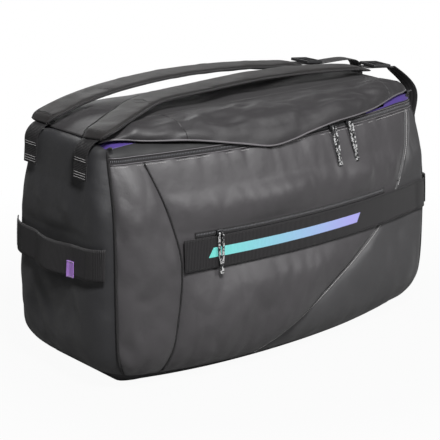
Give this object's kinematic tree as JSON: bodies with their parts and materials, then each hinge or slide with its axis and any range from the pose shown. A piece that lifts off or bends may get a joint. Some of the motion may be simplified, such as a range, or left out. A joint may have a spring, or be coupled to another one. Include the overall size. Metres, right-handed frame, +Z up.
{
  "type": "racket duffel bag",
  "caption": "Soft barrel duffel bag for rackets with a zipped lid flap, zipped front pocket, webbing end handles and padded lengthwise shoulder straps.",
  "frame": {"origin": "middle of the flat base, on the surface the bag stands on", "axes": "+X along the length, towards the buckled strap ends; +Z up; the zipped pocket side faces -Y"},
  "size_m": [0.7262, 0.352, 0.4391],
  "materials": {
    "charcoal_fabric": "matte woven polyester",
    "end_fabric": "matte woven polyester",
    "smooth_panel": "coated polyester",
    "webbing": "ribbed webbing",
    "strap_padding": "padded woven polyester",
    "lining": "thin purple lining",
    "tag": "woven tag",
    "zip_metal": "black enamel",
    "pull_cord": "braided cord with moulded tip",
    "buckle_plastic": "moulded acetal",
    "base_stiffener": "plain sheet"
  },
  "bodies": {
    "bag": {"back_panel": "charcoal_fabric", "base_board": "base_stiffener", "base_panel": "end_fabric", "front_corner_panel": "charcoal_fabric", "front_panel": "charcoal_fabric", "front_right_panel": "smooth_panel", "front_strap_anchor": "webbing", "front_strap_pad": "strap_padding", "front_strap_tab": "webbing", "front_strap_webbing": "webbing", "front_webbing": "webbing", "handle_tag": "tag", "left_end_handle": "webbing", "left_end_panel": "end_fabric", "left_piping": "webbing", "lining": "lining", "main_zip_tape": "webbing", "pocket_pouch": "lining", "pocket_zip_tape": "webbing", "rear_strap_anchor": "webbing", "rear_strap_pad": "strap_padding", "rear_strap_tab": "webbing", "rear_strap_webbing": "webbing", "right_end_handle": "webbing", "right_end_panel": "end_fabric", "right_piping": "webbing", "top_panel": "charcoal_fabric"},
    "lid": {"lid_flap": "charcoal_fabric"},
    "main_slider_left": {"main_slider_left": "zip_metal"},
    "main_slider_right": {"main_slider_right": "zip_metal"},
    "pocket_slider": {"pocket_slider": "zip_metal"},
    "main_pull_left": {"main_pull_left": "pull_cord"},
    "main_pull_right": {"main_pull_right": "pull_cord"},
    "pocket_pull": {"pocket_pull": "pull_cord"},
    "front_buckle": {"front_buckle": "buckle_plastic"},
    "rear_buckle": {"rear_buckle": "buckle_plastic"}
  },
  "joints": [
    {"name": "lid_fold", "type": "hinge", "parent": "bag", "child": "lid", "pos_m": [0, -0.05796, 0.4045], "axis": [-1, 0, 0], "range_deg": [0, 85]},
    {"name": "main_slider_left_run", "type": "hinge", "parent": "bag", "child": "main_slider_left", "pos_m": [0, 0.98156, 0.3585], "axis": [0, 0, 1], "range_deg": [-13, 0]},
    {"name": "main_slider_right_run", "type": "hinge", "parent": "bag", "child": "main_slider_right", "pos_m": [0, 0.98156, 0.3585], "axis": [0, 0, 1], "range_deg": [0, 5]},
    {"name": "main_pull_left_swing", "type": "hinge", "parent": "main_slider_left", "child": "main_pull_left", "pos_m": [0.08843, -0.14868, 0.36071], "axis": [-0.997, -0.078, 0], "range_deg": [0, 80]},
    {"name": "main_pull_right_swing", "type": "hinge", "parent": "main_slider_right", "child": "main_pull_right", "pos_m": [0.12863, -0.14481, 0.36071], "axis": [-0.9935, -0.1135, 0], "range_deg": [0, 80]},
    {"name": "pocket_slider_run", "type": "hinge", "parent": "bag", "child": "pocket_slider", "pos_m": [0, 0.98156, 0.23752], "axis": [0, 0, 1], "range_deg": [-1.2, 16.5]},
    {"name": "pocket_pull_swing", "type": "hinge", "parent": "pocket_slider", "child": "pocket_pull", "pos_m": [-0.16109, -0.17034, 0.238], "axis": [-0.9904, 0.1385, 0], "range_deg": [0, 110]},
    {"name": "front_buckle_tilt", "type": "hinge", "parent": "bag", "child": "front_buckle", "pos_m": [0.27633, -0.03004, 0.4209], "axis": [-0.1305, -0.9914, 0.0119], "range_deg": [0, 40]},
    {"name": "rear_buckle_tilt", "type": "hinge", "parent": "bag", "child": "rear_buckle", "pos_m": [0.20653, 0.06399, 0.42187], "axis": [0.0228, -0.9997, -0.0025], "range_deg": [0, 40]}
  ]
}
